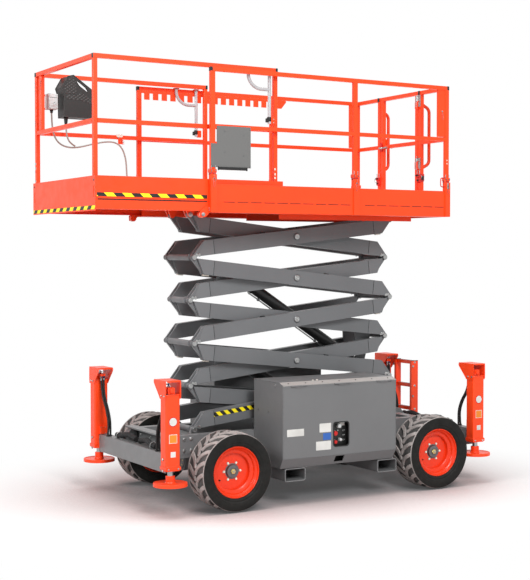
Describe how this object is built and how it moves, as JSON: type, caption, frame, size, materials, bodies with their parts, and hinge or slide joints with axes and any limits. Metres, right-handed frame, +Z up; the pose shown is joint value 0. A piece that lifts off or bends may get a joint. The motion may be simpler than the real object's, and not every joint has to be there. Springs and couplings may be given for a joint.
{
  "type": "scissor lift",
  "caption": "Rough-terrain scissor lift: railed platform with a roll-out deck on a stacked scissor mechanism, side cabinets, lugged wheels and hydraulic outriggers.",
  "frame": {"origin": "on the ground under the middle of the machine's overall length and width", "axes": "+X towards the end where the deck rolls out, +Y to the machine's left, +Z up"},
  "size_m": [3.92, 1.75, 3.6903],
  "materials": {
    "orange_paint": "gloss powder coat",
    "rim_paint": "gloss powder coat",
    "grey_paint": "satin powder coat",
    "arm_paint": "satin powder coat",
    "tyre": "dusty rubber",
    "black_plastic": "moulded",
    "grey_plastic": "moulded",
    "cylinder_black": "satin paint",
    "rod_chrome": "polished",
    "aluminium": "satin",
    "hose_rubber": "matt"
  },
  "bodies": {
    "chassis": {"battery_pack": "black_plastic", "cabinet_left": "grey_paint", "cabinet_right": "grey_paint", "chassis_frame": "grey_paint", "entry_ladder": "orange_paint", "fork_pockets": "grey_paint", "front_axle": "grey_paint", "ground_controls": "black_plastic", "hydraulic_unit": "grey_paint", "outrigger_beams": "grey_paint", "outrigger_hoses": "hose_rubber", "outrigger_housings": "orange_paint", "rear_axle": "grey_paint"},
    "outer_arms_1": {"outer_arms_1": "arm_paint"},
    "inner_arms_1": {"inner_arms_1": "arm_paint"},
    "outer_arms_2": {"outer_arms_2": "arm_paint"},
    "inner_arms_2": {"inner_arms_2": "arm_paint"},
    "outer_arms_3": {"outer_arms_3": "arm_paint"},
    "inner_arms_3": {"inner_arms_3": "arm_paint"},
    "outer_arms_4": {"outer_arms_4": "arm_paint"},
    "inner_arms_4": {"inner_arms_4": "arm_paint"},
    "outer_arms_5": {"outer_arms_5": "arm_paint"},
    "inner_arms_5": {"inner_arms_5": "arm_paint"},
    "upper_cylinder_barrel": {"upper_cylinder_barrel": "cylinder_black"},
    "upper_cylinder_rod": {"upper_cylinder_rod": "rod_chrome"},
    "lower_cylinder_barrel": {"lower_cylinder_barrel": "cylinder_black"},
    "lower_cylinder_rod": {"lower_cylinder_rod": "rod_chrome"},
    "leg_front_left": {"leg_front_left": "orange_paint"},
    "leg_front_right": {"leg_front_right": "orange_paint"},
    "leg_rear_left": {"leg_rear_left": "orange_paint"},
    "leg_rear_right": {"leg_rear_right": "orange_paint"},
    "knuckle_left": {"steering_knuckle_left": "grey_paint"},
    "knuckle_right": {"steering_knuckle_right": "grey_paint"},
    "wheel_front_left": {"rim_front_left": "rim_paint", "tyre_front_left": "tyre"},
    "wheel_front_right": {"rim_front_right": "rim_paint", "tyre_front_right": "tyre"},
    "wheel_rear_left": {"rim_rear_left": "rim_paint", "tyre_rear_left": "tyre"},
    "wheel_rear_right": {"rim_rear_right": "rim_paint", "tyre_rear_right": "tyre"},
    "door_left": {"cabinet_door_left": "grey_paint"},
    "door_right": {"cabinet_door_right": "grey_paint"},
    "extension": {"control_box": "black_plastic", "extension_deck": "orange_paint", "extension_mid_rails": "orange_paint", "extension_posts": "orange_paint", "extension_top_rails": "orange_paint", "latch_handles": "aluminium", "outlet_box": "grey_plastic", "platform_cables": "hose_rubber"},
    "gate": {"entry_gate": "orange_paint"},
    "platform": {"platform_deck": "orange_paint", "platform_mid_rails": "orange_paint", "platform_posts": "orange_paint", "platform_top_rails": "orange_paint", "rail_rack": "orange_paint", "document_plate": "grey_plastic", "grab_handles": "orange_paint", "deck_rollers": "orange_paint"}
  },
  "joints": [
    {"name": "lift", "type": "hinge", "parent": "chassis", "child": "outer_arms_1", "pos_m": [0.881, 0, 0.619], "axis": [0, 1, 0], "range_deg": [-6.33, 50.21]},
    {"name": "cross_fold_1", "type": "hinge", "parent": "outer_arms_1", "child": "inner_arms_1", "pos_m": [-0.14259, 0, 0.803], "axis": [0, 1, 0], "range_deg": [-100.43, 12.67]},
    {"name": "outer_fold_2", "type": "hinge", "parent": "outer_arms_1", "child": "outer_arms_2", "pos_m": [-1.16619, 0, 0.987], "axis": [0, 1, 0], "range_deg": [-100.43, 12.67]},
    {"name": "cross_fold_2", "type": "hinge", "parent": "outer_arms_2", "child": "inner_arms_2", "pos_m": [-0.14259, 0, 1.171], "axis": [0, 1, 0], "range_deg": [-12.67, 100.43]},
    {"name": "outer_fold_3", "type": "hinge", "parent": "outer_arms_2", "child": "outer_arms_3", "pos_m": [0.881, 0, 1.355], "axis": [0, 1, 0], "range_deg": [-12.67, 100.43]},
    {"name": "cross_fold_3", "type": "hinge", "parent": "outer_arms_3", "child": "inner_arms_3", "pos_m": [-0.14259, 0, 1.539], "axis": [0, 1, 0], "range_deg": [-100.43, 12.67]},
    {"name": "outer_fold_4", "type": "hinge", "parent": "outer_arms_3", "child": "outer_arms_4", "pos_m": [-1.16619, 0, 1.723], "axis": [0, 1, 0], "range_deg": [-100.43, 12.67]},
    {"name": "cross_fold_4", "type": "hinge", "parent": "outer_arms_4", "child": "inner_arms_4", "pos_m": [-0.14259, 0, 1.907], "axis": [0, 1, 0], "range_deg": [-12.67, 100.43]},
    {"name": "outer_fold_5", "type": "hinge", "parent": "outer_arms_4", "child": "outer_arms_5", "pos_m": [0.881, 0, 2.091], "axis": [0, 1, 0], "range_deg": [-12.67, 100.43]},
    {"name": "cross_fold_5", "type": "hinge", "parent": "outer_arms_5", "child": "inner_arms_5", "pos_m": [-0.14259, 0, 2.275], "axis": [0, 1, 0], "range_deg": [-100.43, 12.67]},
    {"name": "platform_level", "type": "hinge", "parent": "inner_arms_5", "child": "platform", "pos_m": [0.881, 0, 2.459], "axis": [0, 1, 0], "range_deg": [-6.34, 50.22]},
    {"name": "upper_cylinder_swing", "type": "hinge", "parent": "inner_arms_3", "child": "upper_cylinder_barrel", "pos_m": [-0.949, 0, 1.109], "axis": [0, 1, 0], "range_deg": [-0.57, 4.45]},
    {"name": "upper_cylinder_stroke", "type": "slide", "parent": "upper_cylinder_barrel", "child": "upper_cylinder_rod", "axis": [0.8403, 0, 0.5421], "range_m": [-0.1065, 0.8377]},
    {"name": "lower_cylinder_swing", "type": "hinge", "parent": "inner_arms_1", "child": "lower_cylinder_barrel", "pos_m": [-0.949, 0, 0.373], "axis": [0, 1, 0], "range_deg": [-0.57, 4.45]},
    {"name": "lower_cylinder_stroke", "type": "slide", "parent": "lower_cylinder_barrel", "child": "lower_cylinder_rod", "axis": [0.8403, 0, 0.5421], "range_m": [-0.1065, 0.8377]},
    {"name": "leg_front_left_slide", "type": "slide", "parent": "chassis", "child": "leg_front_left", "axis": [0, 0, -1], "range_m": [0, 0.4]},
    {"name": "leg_front_right_slide", "type": "slide", "parent": "chassis", "child": "leg_front_right", "axis": [0, 0, -1], "range_m": [0, 0.4]},
    {"name": "leg_rear_left_slide", "type": "slide", "parent": "chassis", "child": "leg_rear_left", "axis": [0, 0, -1], "range_m": [0, 0.4]},
    {"name": "leg_rear_right_slide", "type": "slide", "parent": "chassis", "child": "leg_rear_right", "axis": [0, 0, -1], "range_m": [0, 0.4]},
    {"name": "steer_left", "type": "hinge", "parent": "chassis", "child": "knuckle_left", "pos_m": [0.7915, 0.6005, 0.33], "axis": [0, 0, 1], "range_deg": [-30, 30]},
    {"name": "steer_right", "type": "hinge", "parent": "chassis", "child": "knuckle_right", "pos_m": [0.7915, -0.6005, 0.33], "axis": [0, 0, 1], "range_deg": [-30, 30]},
    {"name": "wheel_front_left_spin", "type": "hinge", "parent": "knuckle_left", "child": "wheel_front_left", "pos_m": [0.7915, 0.7325, 0.33], "axis": [0, 1, 0], "continuous": true},
    {"name": "wheel_front_right_spin", "type": "hinge", "parent": "knuckle_right", "child": "wheel_front_right", "pos_m": [0.7915, -0.7325, 0.33], "axis": [0, 1, 0], "continuous": true},
    {"name": "wheel_rear_left_spin", "type": "hinge", "parent": "chassis", "child": "wheel_rear_left", "pos_m": [-1.2895, 0.7325, 0.33], "axis": [0, 1, 0], "continuous": true},
    {"name": "wheel_rear_right_spin", "type": "hinge", "parent": "chassis", "child": "wheel_rear_right", "pos_m": [-1.2895, -0.7325, 0.33], "axis": [0, 1, 0], "continuous": true},
    {"name": "door_left_lift", "type": "hinge", "parent": "chassis", "child": "door_left", "pos_m": [-0.249, 0.856, 1.009], "axis": [1, 0, 0], "range_deg": [0, 80]},
    {"name": "door_right_lift", "type": "hinge", "parent": "chassis", "child": "door_right", "pos_m": [-0.249, -0.856, 1.009], "axis": [-1, 0, 0], "range_deg": [0, 80]},
    {"name": "extension_slide", "type": "slide", "parent": "platform", "child": "extension", "axis": [1, 0, 0], "range_m": [-0.9, 0.5]},
    {"name": "gate_swing", "type": "hinge", "parent": "platform", "child": "gate", "pos_m": [-1.452, 0.311, 3], "axis": [0, 0, 1], "range_deg": [0, 90]}
  ],
  "couplings": [
    {"joint": "cross_fold_1", "follows": "lift", "ratio": -2},
    {"joint": "outer_fold_2", "follows": "lift", "ratio": -2},
    {"joint": "cross_fold_2", "follows": "lift", "ratio": 2},
    {"joint": "outer_fold_3", "follows": "lift", "ratio": 2},
    {"joint": "cross_fold_3", "follows": "lift", "ratio": -2},
    {"joint": "outer_fold_4", "follows": "lift", "ratio": -2},
    {"joint": "cross_fold_4", "follows": "lift", "ratio": 2},
    {"joint": "outer_fold_5", "follows": "lift", "ratio": 2},
    {"joint": "cross_fold_5", "follows": "lift", "ratio": -2},
    {"joint": "platform_level", "follows": "lift", "ratio": 1},
    {"joint": "upper_cylinder_swing", "follows": "lift", "ratio": 0.0884},
    {"joint": "upper_cylinder_stroke", "follows": "lift", "m_per_rad": 0.9547},
    {"joint": "lower_cylinder_swing", "follows": "lift", "ratio": 0.0884},
    {"joint": "lower_cylinder_stroke", "follows": "lift", "m_per_rad": 0.9547},
    {"joint": "steer_right", "follows": "steer_left", "ratio": 1}
  ]
}
